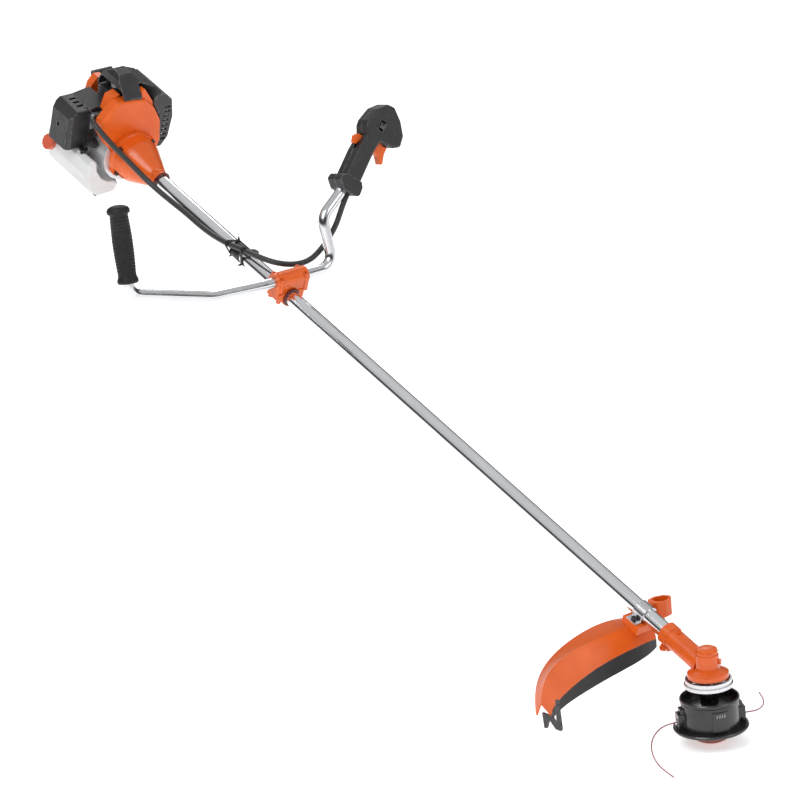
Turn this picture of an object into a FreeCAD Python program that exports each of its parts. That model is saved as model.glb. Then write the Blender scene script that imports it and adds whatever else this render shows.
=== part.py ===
import FreeCAD, Part
import math
import os
from FreeCAD import Vector as V

# String trimmer (brush cutter) with a two-handed bar, a two-stroke engine and a bump-feed line head.
# The model is laid out in two frames that share one origin, where the tube axis meets the head's spin axis:
#   shaft frame: x along the main tube towards the head, y to the left, z square to the tube and upwards
#   world frame: z up along the head's spin axis, x forward, y to the left
# The shaft frame is the world frame turned about y by TILT. At the end everything is moved so that the
# centre of the harness eye is the origin, because the machine hangs from it.

# driving dimensions, millimetres and degrees
TILT = 23.0                # slope of the main tube when the head runs level
TUBE_R = 13.0              # main tube, outside
TUBE_BORE_R = 11.5         # main tube, inside
ENGINE_X = -1465.0         # front face of the clutch housing's collar
HANDLEBAR_X = -1095.0      # handlebar clamp
HARNESS_X = -1223.0        # harness eye
GUARD_X = -150.0           # guard clamp
SHAFT_R = 4.0              # drive shaft
RUN_GAP = 0.05             # radial clearance of running fits
SKIN = 2.5                 # wall of moulded covers
BAR_R = 9.5                # handlebar tubes, outside
BAR_BORE_R = 8.0           # handlebar tubes, inside
BAR_RISE = 26.5            # handlebar axis above the tube axis
BAR_LEAN = 30.0            # backward lean of the handlebar's plane
HANDLE_TURN = 50.0         # slope of the throttle handle within the bar's plane
CABLE_R = 5.0              # throttle cable conduit
FLYWHEEL_R = 46.0
DRUM_R = 34.0              # clutch drum, outside
SKIRT_R = 58.5             # line head lower disc
LINE_R = 1.2               # nylon line
EYE_Y, EYE_Z = 28.0, -8.0  # harness eye beside the tube, shaft frame
EYE_R = 6.0

X, Y, Z = V(1, 0, 0), V(0, 1, 0), V(0, 0, 1)
NODES = {}
FASTENERS = []              # every bolt, screw and pin of the fixed frame, world frame
BEARINGS = []               # every ball bearing of the fixed frame, world frame


# ---------- helpers ----------

def st(distance):
    """Shaft-frame x of a station measured from the clutch housing's collar, positive towards the head."""
    return ENGINE_X + distance


def rod(radius, start, end):
    return Part.makeCylinder(radius, (end - start).Length, start, end - start)


def xrod(radius, x0, x1, y=0.0, z=0.0):
    return rod(radius, V(x0, y, z), V(x1, y, z))


def xring(outer, inner, x0, x1, y=0.0, z=0.0):
    return xrod(outer, x0, x1, y, z).cut(xrod(inner, x0, x1, y, z))


def yrod(radius, y0, y1, x, z):
    return rod(radius, V(x, y0, z), V(x, y1, z))


def zrod(radius, z0, z1, x=0.0, y=0.0):
    return rod(radius, V(x, y, z0), V(x, y, z1))


def zring(outer, inner, z0, z1, x=0.0, y=0.0):
    return zrod(outer, z0, z1, x, y).cut(zrod(inner, z0, z1, x, y))


def block(x0, x1, y0, y1, z0, z1):
    return Part.makeBox(x1 - x0, y1 - y0, z1 - z0, V(x0, y0, z0))


def corner(before, point, after, radius):
    """Tangent points and middle of the arc that rounds one corner."""
    a, b = (before - point).normalize(), (after - point).normalize()
    half = a.getAngle(b) / 2
    reach = radius / math.tan(half)
    bisector = (a + b).normalize()
    return point + a * reach, point + bisector * (radius / math.sin(half) - radius), point + b * reach


def is_straight(before, point, after):
    return (before - point).getAngle(after - point) > math.radians(179.5)


def rounded_wire(points, radii, closed=True):
    """Straight runs through the points, joined by tangent arcs. radii is one number or one per point."""
    count = len(points)
    if not isinstance(radii, (list, tuple)):
        radii = [radii] * count
    stops = []
    for i, point in enumerate(points):
        is_end = not closed and i in (0, count - 1)
        if is_end or radii[i] == 0 or is_straight(points[i - 1], point, points[(i + 1) % count]):
            stops.append((point, None, point))
        else:
            stops.append(corner(points[i - 1], point, points[(i + 1) % count], radii[i]))
    edges = []
    for i, (start, middle, end) in enumerate(stops):
        if middle is not None:
            edges.append(Part.Arc(start, middle, end).toShape())
        if closed or i < count - 1:
            following = stops[(i + 1) % count][0]
            if (following - end).Length > 1e-6:
                edges.append(Part.LineSegment(end, following).toShape())
    return Part.Wire(edges)


def x_prism(outline, x0, x1, radii=0):
    """A (y, z) outline drawn at x0 and extruded to x1."""
    wire = rounded_wire([V(x0, y, z) for y, z in outline], radii)
    return Part.Face(wire).extrude(V(x1 - x0, 0, 0))


def y_prism(outline, y0, y1, radii=0):
    """An (x, z) outline drawn at y0 and extruded to y1."""
    wire = rounded_wire([V(x, y0, z) for x, z in outline], radii)
    return Part.Face(wire).extrude(V(0, y1 - y0, 0))


def z_prism(outline, z0, z1, radii=0):
    """An (x, y) outline drawn at z0 and extruded to z1."""
    wire = rounded_wire([V(x, y, z0) for x, y in outline], radii)
    return Part.Face(wire).extrude(V(0, 0, z1 - z0))


def x_turned(profile):
    """A closed (x, radius) profile turned about the x axis."""
    points = [V(x, 0, r) for x, r in profile]
    return Part.Face(rounded_wire(points, 0)).revolve(V(0, 0, 0), X, 360)


def z_turned(profile, x=0.0, y=0.0):
    """A closed (radius, z) profile turned about a line along z."""
    points = [V(x + r, y, z) for r, z in profile]
    return Part.Face(rounded_wire(points, 0)).revolve(V(x, y, 0), Z, 360)


def pipe(points, radii, radius):
    """A round solid swept along straight runs and tangent arcs."""
    path = rounded_wire(points, radii, closed=False)
    start = points[0]
    circle = Part.Wire(Part.makeCircle(radius, start, points[1] - start))
    solid = Part.Wire(path).makePipeShell([circle], True, True)
    return solid


def cord_radii(points):
    """The largest bend each pair of runs allows: its tangent takes 0.45 of the shorter run."""
    radii = [0]
    for before, point, after in zip(points, points[1:], points[2:]):
        turn = math.pi - (before - point).getAngle(after - point)
        shorter = min((point - before).Length, (after - point).Length)
        radii.append(0.45 * shorter / math.tan(turn / 2))
    return radii + [0]


def cord(name, points, radius):
    """A cord's plain tube. Prints its bend radii, its length and how well its volume agrees."""
    radii = cord_radii(points)
    solid = pipe(points, radii, radius)
    length = rounded_wire(points, radii, closed=False).Length
    share = solid.Volume / (math.pi * radius ** 2 * length)
    bends = ", ".join(f"{r:.0f}" for r in radii[1:-1])
    print(f"{name}: length {length:.0f} mm, bend radii {bends} mm, volume share {share:.3f}")
    return solid


def bolt(head_at, direction, shank_r, shank_length, head_r, head_height):
    """A socket-head bolt: the shank runs from head_at along direction, the head stands behind it."""
    d = V(direction).normalize()
    shank = rod(shank_r, head_at, head_at + d * shank_length)
    head = rod(head_r, head_at - d * head_height, head_at)
    socket = rod(head_r * 0.5, head_at - d * head_height, head_at - d * head_height * 0.4)
    return shank.fuse(head).cut(socket)


def fuse_all(shapes):
    result = shapes[0]
    for shape in shapes[1:]:
        result = result.fuse(shape)
    return result.removeSplitter()


def tilt(shape):
    """Shaft frame to world frame."""
    turned = shape.copy()
    turned.rotate(V(0, 0, 0), Y, TILT)
    return turned


def shaft_node(name, shape):
    NODES[name] = tilt(shape)


def world_node(name, shape):
    NODES[name] = shape


# ---------- main tube and drive shaft ----------

TUBE_TOP_X = st(-30)
TUBE_LOW_X = -55.0


def make_tube():
    shaft_node("outer_tube", xring(TUBE_R, TUBE_BORE_R, TUBE_TOP_X, TUBE_LOW_X))
    bushes = [
        xring(TUBE_BORE_R, SHAFT_R + RUN_GAP, x - 12, x + 12)
        for x in (st(60), st(390), st(720), st(1050), st(1330))
    ]
    shaft_node("shaft_bushes", Part.makeCompound(bushes))


def make_harness_hanger():
    x0, x1 = HARNESS_X - 20, HARNESS_X + 20
    band_r = TUBE_R
    band = xring(band_r + 2.0, band_r, HARNESS_X - 9, HARNESS_X + 9)
    lug = block(HARNESS_X - 9, HARNESS_X + 9, 9, EYE_Y, EYE_Z - 2, EYE_Z + 2)
    lug = lug.fuse(zrod(9.0, EYE_Z - 2, EYE_Z + 2, HARNESS_X, EYE_Y)).cut(xrod(band_r, x0, x1))
    eye = zrod(EYE_R, EYE_Z - 9, EYE_Z + 9, HARNESS_X, EYE_Y)
    shaft_node("harness_eye_band", band.fuse(lug).cut(eye).removeSplitter())


# ---------- clutch, crank and crankcase ----------

BOLT_CIRCLE_R = 42.5       # clutch housing bolts
BOLT_ANGLES = (35, 145, 215, 325)
CRANKCASE_HOLES = []       # ways for the clutch housing's bolts


def make_clutch_housing():
    outer = x_turned([
        (st(-97), 0), (st(-97), 44.5), (st(-90), 44.5), (st(-88), 42.5), (st(-68), 41), (st(-62), 39.5),
        (st(-14), 19.5), (st(-12), 17.5), (st(-8), 17.5), (st(-8), 16.5), (st(0), 16), (st(0), 0),
    ])
    inner = x_turned([
        (st(-99), 0), (st(-99), DRUM_R + 2.5), (st(-62), DRUM_R + 2.5), (st(-52), 27), (st(-31), 15.5),
        (st(-31), TUBE_R), (st(1), TUBE_R), (st(1), 0),
    ])
    housing = outer.cut(inner)
    slot = block(st(-12), st(1), -1.2, 1.2, -20, -TUBE_R + 1)
    housing = housing.cut(slot)
    bolts = []
    for angle in BOLT_ANGLES:
        y, z = BOLT_CIRCLE_R * math.cos(math.radians(angle)), BOLT_CIRCLE_R * math.sin(math.radians(angle))
        boss = xrod(6.0, st(-97), st(-84), y, z).cut(xrod(DRUM_R + 2.5, st(-99), st(-60)))
        housing = housing.fuse(boss).cut(xrod(4.4, st(-84), st(-60), y, z))
        housing = housing.cut(xrod(2.6, st(-99), st(-80), y, z))
        CRANKCASE_HOLES.append(xrod(2.6, st(-102), st(-80), y, z))
        bolts.append(bolt(V(st(-84), y, z), -X, 2.5, 15, 4.2, 4.5))
    shaft_node("clutch_housing", housing.removeSplitter())
    FASTENERS.extend(tilt(b) for b in bolts)


def make_clutch():
    drum = x_turned([
        (st(-96), DRUM_R - 2.5), (st(-96), DRUM_R), (st(-66), DRUM_R), (st(-64), DRUM_R - 2), (st(-64), 10),
        (st(-40), 10), (st(-40), SHAFT_R), (st(-62), SHAFT_R), (st(-62), 0), (st(-66.5), 0),
        (st(-66.5), DRUM_R - 2.5),
    ])
    shaft_node("clutch_drum", drum)
    shoes = []
    for side in (-1, 1):
        pad = xring(DRUM_R - 3.5, 12, st(-92), st(-70))
        half = block(st(-93), st(-69), -40, 40, 2.5, 40)
        if side < 0:
            half = block(st(-93), st(-69), -40, 40, -40, -2.5)
        shoes.append(pad.common(half))
    shaft_node("clutch_shoes", Part.makeCompound(shoes))


def make_crank():
    web_r, pin_r = 26, 16
    shaft = [
        xrod(11.9, st(-92), st(-70)), xrod(7.5, st(-149), st(-92)), xrod(web_r, st(-157), st(-149)),
        xrod(6, st(-171), st(-157), 0, -pin_r), xrod(web_r, st(-179), st(-171)),
        xrod(7.5, st(-212), st(-179)),
    ]
    shaft_node("crankshaft", fuse_all(shaft))
    hub = xring(14, 7.5, st(-134), st(-110))
    disc = xring(FLYWHEEL_R, 13, st(-134), st(-128))
    vanes = []
    for i in range(16):
        vane = block(st(-128.2), st(-118.8), -1.2, 1.2, 20, FLYWHEEL_R - 1)
        vane.rotate(V(0, 0, 0), X, i * 360 / 16)
        vanes.append(vane)
    shaft_node("flywheel_fan", fuse_all([hub, disc] + vanes))
    bearings = [xring(17, 7.5 + RUN_GAP, st(-148), st(-139)), xring(17, 7.5 + RUN_GAP, st(-189), st(-180))]
    BEARINGS.extend(tilt(b) for b in bearings)


CYLINDER_X = st(-164)


def make_crankcase():
    bowl = xring(54, 51, st(-138), st(-118))
    back = xring(54, 17, st(-142), st(-137.9))
    barrel = xring(41, 29, st(-190), st(-141.9))
    front_wall = xring(30, 17, st(-148), st(-141.9))
    rear_wall = xring(41, 17, st(-195), st(-180.5))
    deck = block(CYLINDER_X - 24, CYLINDER_X + 24, -26, 30, 22, 44)
    foot = block(st(-188), st(-146), -30, 30, -50, -34)
    shoulder = xring(54, 51, st(-118.2), st(-98)).fuse(xring(54, 38, st(-101), st(-97)))
    shoulder = shoulder.common(block(st(-120), st(-95), -60, 0, -60, 30))
    cover_room = [(y * 1.008, (z - 25) * 1.008 + 25) for y, z in FAN_OUTLINE]
    shoulder = shoulder.cut(x_prism(cover_room, st(-118), st(-95), 7))
    shoulder = max(shoulder.Solids, key=lambda s: s.Volume)
    case = fuse_all([bowl, back, barrel, front_wall, rear_wall, deck, foot, shoulder])
    case = case.cut(xrod(29, st(-180.5), st(-148)))
    case = case.cut(zrod(20.5, 0, 46, CYLINDER_X, 0))
    case = case.cut(block(CYLINDER_X - 26, CYLINDER_X + 26, -28, 36, 44, 60))
    ribs = []
    for angle in (200, 230, 260):
        rib = block(st(-188), st(-142), -1.5, 1.5, 39, 50)
        rib.rotate(V(0, 0, 0), X, angle - 90)
        ribs.append(rib)
    shaft_node("crankcase", fuse_all([case] + ribs).cut(Part.makeCompound(CRANKCASE_HOLES)))


def make_cylinder():
    half_x = 25.5
    core = zrod(23.5, 44, 100, CYLINDER_X, 0)
    base = block(CYLINDER_X - 24, CYLINDER_X + 24, -24, 30, 44, 49)
    fins = []
    for i in range(8):
        z = 53 + i * 6.5
        fin = z_prism(
            [(CYLINDER_X - half_x, -22), (CYLINDER_X + half_x, -22), (CYLINDER_X + half_x, 35),
             (CYLINDER_X - half_x, 35)], z, z + 2.2, 6)
        fins.append(fin)
    ports = [block(CYLINDER_X - 14, CYLINDER_X + 14, -27, -15, 46, 64),
             block(CYLINDER_X - 14, CYLINDER_X + 14, 15, 37, 56, 78)]
    body = fuse_all([core, base] + fins + ports)
    body = body.cut(zrod(20, 43, 92, CYLINDER_X, 0))
    body = body.cut(yrod(8, -28, -18, CYLINDER_X, 54)).cut(yrod(9, 18, 38, CYLINDER_X, 67))
    body = body.cut(zrod(5, 91, 106, CYLINDER_X, 0))
    shaft_node("cylinder", body)
    piston = zring(20 - RUN_GAP, 16, 28, 49, CYLINDER_X, 0).fuse(zrod(20 - RUN_GAP, 48, 54, CYLINDER_X, 0))
    pin = yrod(4.5, -18, 18, CYLINDER_X, 38)
    shaft_node("piston", piston.fuse(pin).removeSplitter())


def make_spark_plug():
    z0 = 101
    plug = fuse_all([
        zrod(5, 84, z0, CYLINDER_X, 0), zrod(9, z0, z0 + 8, CYLINDER_X, 0),
        zrod(5, z0 + 8, z0 + 16, CYLINDER_X, 0), zrod(3, z0 + 16, z0 + 22, CYLINDER_X, 0),
    ])
    shaft_node("spark_plug", plug)
    cap = zrod(8, z0 + 8.5, z0 + 24, CYLINDER_X, 0)
    elbow = rod(6, V(CYLINDER_X, 0, z0 + 20), V(CYLINDER_X - 4, -19, z0 + 13))
    boot = cap.fuse(elbow)
    boot = boot.cut(zrod(5.0, z0 + 7, z0 + 16, CYLINDER_X, 0)).cut(zrod(3.0, z0 + 15, z0 + 22, CYLINDER_X, 0))
    shaft_node("spark_plug_boot", boot.removeSplitter())


# ---------- engine covers ----------

FAN_OUTLINE = [(-70, 55), (-70, 77), (-42, 112), (-8, 110), (18, 106), (40, 86), (58, 55), (64, 14),
               (56, -20), (32, -48), (2, -58), (-16, -44), (-25, -14), (-50, 24)]


def inset(outline, distance):
    """The outline moved inwards by a distance, for the hollow of a cover."""
    wire = rounded_wire([V(0, y, z) for y, z in outline], 0)
    smaller = wire.makeOffset2D(-distance, 2)
    return [(v.Point.y, v.Point.z) for v in smaller.OrderedVertexes]


def make_fan_cover():
    cover = x_prism(FAN_OUTLINE, st(-118), st(-97), 7)
    front_edges = [e for e in cover.Edges if e.BoundBox.XMin > st(-97) - 0.01]
    cover = cover.makeFillet(4, front_edges)
    hollow = x_prism(inset(FAN_OUTLINE, SKIN), st(-119), st(-97) - SKIN, 5)
    cover = cover.cut(hollow).cut(xrod(37.5, st(-100), st(-90)))
    peak = x_prism([(12, 100), (42, 80), (38, 96), (18, 124), (12, 119)], st(-117), st(-104), 1.5)
    roof = x_prism([(-50, 84), (-44, 112), (-27, 117), (-27, 113.5), (-41, 108.5), (-47, 84)],
                   st(-137), st(-116), 0.5)
    cover = fuse_all([cover, peak, roof])
    cover = cover.cut(hollow)
    for angle in BOLT_ANGLES:
        y, z = BOLT_CIRCLE_R * math.cos(math.radians(angle)), BOLT_CIRCLE_R * math.sin(math.radians(angle))
        cover = cover.cut(xrod(2.6, st(-119), st(-90), y, z))
    shaft_node("fan_cover", cover.removeSplitter())


def make_top_cover():
    side = [(st(-184), 112), (st(-172), 134), (st(-150), 148), (st(-132), 146),
            (st(-118), 132), (st(-100), 113), (st(-100), 107), (st(-120), 113), (st(-184), 102)]
    front = [(-26, 96), (-26, 138), (-20, 149), (2, 150), (18, 132), (34, 124), (50, 116), (50, 104),
             (30, 96)]
    solid = y_prism(side, -30, 60, 1.0).common(x_prism(front, st(-200), st(-95), 0.8))
    hollow_side = [(st(-181), 98), (st(-181), 113), (st(-170), 131), (st(-149), 145), (st(-133), 143),
                   (st(-120), 129.5), (st(-104), 113), (st(-104), 98)]
    hollow_front = [(-31, 90), (-31, 124), (-23.4, 124), (-23.4, 137), (-18, 146.4), (1, 147.4), (16, 129.6),
                    (33, 121.4), (47.4, 114), (47.4, 90)]
    hollow = y_prism(hollow_side, -40, 70).common(x_prism(hollow_front, st(-205), st(-90)))
    cover = solid.cut(hollow)
    peak_room = x_prism([(10.5, 90), (60, 60), (60, 104), (30, 140), (10.5, 140)], st(-118.5), st(-90))
    fan_room = x_prism([(y, z + 0.3) for y, z in FAN_OUTLINE], st(-118.3), st(-90))
    cover = cover.cut(peak_room).cut(fan_room)
    louvres = [block(st(-170) + i * 9, st(-166) + i * 9, -16, 0, 125, 155) for i in range(3)]
    cover = cover.cut(Part.makeCompound(louvres))
    biggest = max(cover.Solids, key=lambda s: s.Volume)
    shaft_node("top_cover", biggest)


MUFFLER_OUTLINE = [(45, 98), (62, 108), (84, 88), (91, 52), (87, 10), (74, -8), (66, -8), (66.5, 14),
                   (61, 57), (44, 89)]


def make_muffler():
    can = x_prism([(37.2, 38), (37.2, 86), (64, 86), (74, 60), (70, 22), (57, 14), (46, 28)],
                  st(-184), st(-142.5), 4)
    hollow = x_prism([(39.2, 42), (39.2, 84), (62.5, 84), (72, 60), (68.5, 24), (57, 17), (48, 30)],
                     st(-182), st(-144.5))
    outlet = yrod(6, 66, 94, st(-172), 46).cut(yrod(4.5, 60, 95, st(-172), 46)).cut(hollow)
    can = fuse_all([can, outlet]).cut(hollow).cut(yrod(7, 30, 45, CYLINDER_X, 67))
    can = can.cut(yrod(4.5, 60, 95, st(-172), 46))
    shaft_node("muffler", can.removeSplitter())
    cover = x_prism(MUFFLER_OUTLINE, st(-190), st(-107), [2, 5, 7, 9, 7, 5, 2, 2, 0, 2])
    cover = cover.fuse(x_prism(inset(MUFFLER_OUTLINE, 1.5), st(-107), st(-105), 1.5))
    cover = cover.cut(x_prism(inset(MUFFLER_OUTLINE, SKIN), st(-187.5), st(-107.5), 2))
    cover = cover.cut(block(st(-191), st(-121), 30, 76, 10, 90)).cut(yrod(7.0, 70, 100, st(-172), 46))
    slots = []
    for i in range(8):
        z = 6 + i * 9.5
        slots.append(block(st(-180), st(-118), 70, 100, z, z + 4))
        slots.append(block(st(-110), st(-100), 69, 82, z, z + 4))
    cover = cover.cut(Part.makeCompound(slots))
    shaft_node("muffler_cover", max(cover.Solids, key=lambda s: s.Volume))


# ---------- intake side ----------

CHOKE_Y, CHOKE_Z = -72.0, 20.0   # choke lever pivot on the filter cover


def make_carburettor():
    bore_z = 54.0
    x0 = CYLINDER_X
    flange = block(x0 - 15, x0 + 15, -33, -27, 44, 64)
    body = block(x0 - 15, x0 + 17, -56, -33, 42, 64)
    bowl = block(x0 - 12, x0 + 14, -54, -36, 32, 42)
    stop = block(x0 + 17, x0 + 20, -55, -41, 47, 64).cut(xrod(2.0, x0 + 15, x0 + 22, -48, 56))
    barb = xrod(1.8, x0 + 14, x0 + 20, -46, 37)
    lever_at = (x0 + 10, -50)
    carb = fuse_all([flange, body, bowl, stop, barb]).cut(yrod(8, -60, -25, x0, bore_z))
    carb = carb.cut(zrod(3.0 + RUN_GAP, 53, 66, *lever_at))
    shaft_node("carburettor", carb)
    arm = z_prism([(x0 + 6, -54), (x0 + 14, -54), (x0 + 14, -47), (x0 + 8, -38), (x0 + 4, -38)],
                  64.4, 66.4, 1.5)
    shaft_node("throttle_lever", zrod(3.0, 55, 64.4, *lever_at).fuse(arm).removeSplitter())


def make_air_filter():
    base = block(st(-206.5), st(-153.5), -60, -56.5, 2, 66).cut(yrod(8, -61, -55, CYLINDER_X, 54))
    shaft_node("air_filter_base", base)
    shaft_node("air_filter_element", block(st(-202), st(-158), -90, -60, 6, 50))
    outer = y_prism([(st(-210), -4), (st(-150), -4), (st(-150), 72), (st(-210), 74)], -100, -57, 3)
    chamfer = x_prism([(-101, 57), (-101, 80), (-78, 80), (-86, 71)], st(-215), st(-140))
    front_cut = z_prism([(st(-158), -101), (st(-149), -101), (st(-149), -92)], -10, 80)
    rear_cut = z_prism([(st(-211), -101), (st(-204), -101), (st(-211), -90)], -10, 80)
    hollow = block(st(-207), st(-153), -95, -50, -1, 68).cut(
        x_prism([(-96, 51), (-96, 80), (-74, 80), (-82, 67)], st(-215), st(-140)))
    roof = x_prism([(-60, 70), (-24, 77), (-24, 80), (-60, 74)], st(-208), st(-150))
    shell = fuse_all([outer.cut(chamfer).cut(front_cut).cut(rear_cut), roof]).cut(hollow)
    vents = [block(st(-196) + i * 12, st(-190) + i * 12, -76, -62, 64, 80) for i in range(3)]
    shell = shell.cut(Part.makeCompound(vents)).cut(yrod(4.5, -104, -90, st(-184), 34))
    shell = shell.cut(xrod(2.5 + RUN_GAP, st(-212), st(-204), CHOKE_Y, CHOKE_Z))
    shaft_node("air_filter_cover", shell)
    lever = x_prism([(CHOKE_Y - 4, CHOKE_Z - 5), (CHOKE_Y + 4, CHOKE_Z - 5), (CHOKE_Y + 4, CHOKE_Z + 6),
                     (CHOKE_Y + 1, CHOKE_Z + 26), (CHOKE_Y - 5, CHOKE_Z + 26)], st(-214), st(-211), 2)
    lever = lever.fuse(xrod(2.5, st(-211), st(-205), CHOKE_Y, CHOKE_Z)).removeSplitter()
    shaft_node("choke_lever", lever)


TANK_OUTLINE = [(-78, -40), (-78, -14), (-70, -5), (-62, -12), (-59, -30), (-47, -48), (-32, -58),
                (-14, -61), (-9, -70), (-14, -82), (-50, -84), (-68, -72)]
CAP_TURN = 20.0            # upward tilt of the filler cap's axis from straight out


def make_tank():
    tank = x_prism(TANK_OUTLINE, st(-238), st(-106), [8, 5, 4, 4, 6, 6, 6, 3, 3, 6, 8, 8])
    ends = [e for e in tank.Edges if e.BoundBox.XLength < 0.01]
    tank = tank.makeFillet(3, ends)
    hollow = x_prism(inset(TANK_OUTLINE, 3.0), st(-234), st(-110), 0.5)
    turn = math.radians(CAP_TURN)
    out = V(0, -math.cos(turn), math.sin(turn))
    across = V(0, math.sin(turn), math.cos(turn))
    mouth = V(st(-216), -75.5, -30)
    neck = rod(11, mouth, mouth + out * 11.5)
    tank = fuse_all([tank.cut(hollow), neck]).cut(rod(8, mouth - out * 5, mouth + out * 12))
    tank = tank.cut(zrod(4.5, -20, -2, st(-141), -69.5))
    shaft_node("fuel_tank", tank)
    rim, top = mouth + out * 8.4, mouth + out * 18.4
    cap = rod(14, rim, top).cut(rod(11.3, rim - out, mouth + out * 11.8))
    for i in range(12):
        a = 2 * math.pi * i / 12
        side = (X * math.cos(a) + across * math.sin(a)) * 14.6
        cap = cap.cut(rod(1.6, rim + side - out, top + side + out))
    shaft_node("fuel_cap", cap)
    route = [(-141, -69.5, -14), (-141, -69, -3), (-140.5, -66, 7), (-138, -60.5, 18),
             (-135.5, -54, 27), (-136, -48, 36), (-147.5, -46, 37)]
    grommet = zring(4.4, 2.5, -14, -2.5, st(-141), -69.5).fuse(zring(7.4, 2.5, -2.5, 1, st(-141), -69.5))
    hose = cord("fuel_line", [V(st(x), y, z) for x, y, z in route], 2.6)
    shaft_node("fuel_line", fuse_all([hose, grommet]))


# ---------- starter ----------

def make_starter():
    x0, x1 = st(-242), st(-196)
    shell = xrod(52, x0, x1).cut(xrod(49, x0 + 3, x1 + 1))
    fin = x_prism([(-22, 44), (-16, 80), (-6, 93), (10, 92), (16, 44)], st(-226), st(-211), 4)
    shell = fuse_all([shell, fin.cut(xrod(49, x0 + 3, x1 + 1))])
    flange = xring(52, 41, x1 - 3, x1)
    slots = []
    for i in range(14):
        slot = block(x0 - 1, x0 + 4, -2, 2, 22, 42)
        slot.rotate(V(0, 0, 0), X, i * 360 / 14)
        slots.append(slot)
    shell = fuse_all([shell, flange]).cut(Part.makeCompound(slots))
    shell = shell.cut(rod(2.4, V(st(-222), 30, 20), V(st(-222), 30, 20) + starter_pull() * 80))
    boss = xrod(8, x0, x0 + 12)
    shell = fuse_all([shell, boss])
    shaft_node("starter_housing", shell)
    pulley = xring(30, 8 + RUN_GAP, x0 + 4, x0 + 11)
    groove = xring(31, 26, x0 + 6, x0 + 9)
    shaft_node("starter_pulley", pulley.cut(groove))


def starter_pull():
    """The pull's direction, straight up in the world, seen in the shaft frame."""
    a = math.radians(TILT)
    return V(-math.sin(a), 0, math.cos(a))


def make_starter_grip():
    d = starter_pull()
    base = V(st(-222), 30, 20)
    rope_end = base + d * 50
    grip = rod(6.5, rope_end, rope_end + d * 14)
    bar = rod(6.5, rope_end + d * 11 - Y * 20, rope_end + d * 11 + Y * 20)
    rope = rod(1.7, base + d * 6, rope_end)
    shaft_node("starter_grip", fuse_all([grip, bar, rope]))


# ---------- handlebar ----------

def bar_point(y, rise, normal=0.0):
    """A point of the handlebar's leaning plane, in the shaft frame."""
    a = math.radians(BAR_LEAN)
    return V(HANDLEBAR_X - rise * math.sin(a) + normal * math.cos(a), y,
             BAR_RISE + rise * math.cos(a) + normal * math.sin(a))


HANDLE_BASE = (149.5, 128.6)
BAR_OFFSET = -4.5          # handlebar axis in the throttle handle's frame


def handle_axis(height):
    """Where the bar runs inside the throttle handle, as (y, rise) at a height up the handle."""
    a = math.radians(HANDLE_TURN)
    return (HANDLE_BASE[0] + BAR_OFFSET * math.sin(a) + height * math.cos(a),
            HANDLE_BASE[1] - BAR_OFFSET * math.cos(a) + height * math.sin(a))


LEFT_BAR = [(-1.0, 0), (-48, 0), (-160, 6), (-316, 47), (-311, 186)]
RIGHT_BAR = [(1.0, 0), (98, 0), (91, 86), handle_axis(-18), handle_axis(60)]


def make_handlebar():
    left = [bar_point(y, r) for y, r in LEFT_BAR]
    right = [bar_point(y, r) for y, r in RIGHT_BAR]
    tubes = (("handlebar_left", left, [0, 60, 80, 22, 0]), ("handlebar_right", right, [0, 24, 30, 40, 0]))
    for name, points, bends in tubes:
        outer = pipe(points, bends, BAR_R)
        inner = pipe(points, bends, BAR_BORE_R)
        shaft_node(name, outer.cut(inner))


def make_left_grip():
    bend, end = bar_point(*LEFT_BAR[-2]), bar_point(*LEFT_BAR[-1])
    d = (end - bend).normalize()
    low, high = bend + d * 19, end + d * 6
    grip = rod(15, low, high)
    grip = fuse_all([grip, rod(18, low, low + d * 7), rod(20, high - d * 10, high)])
    for i in range(14):
        at = low + d * (14 + i * 7.2)
        groove = rod(17, at, at + d * 2).cut(rod(14, at, at + d * 2))
        grip = grip.cut(groove)
    grip = grip.cut(rod(BAR_R, low - d, end))
    shaft_node("left_grip", grip)


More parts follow.
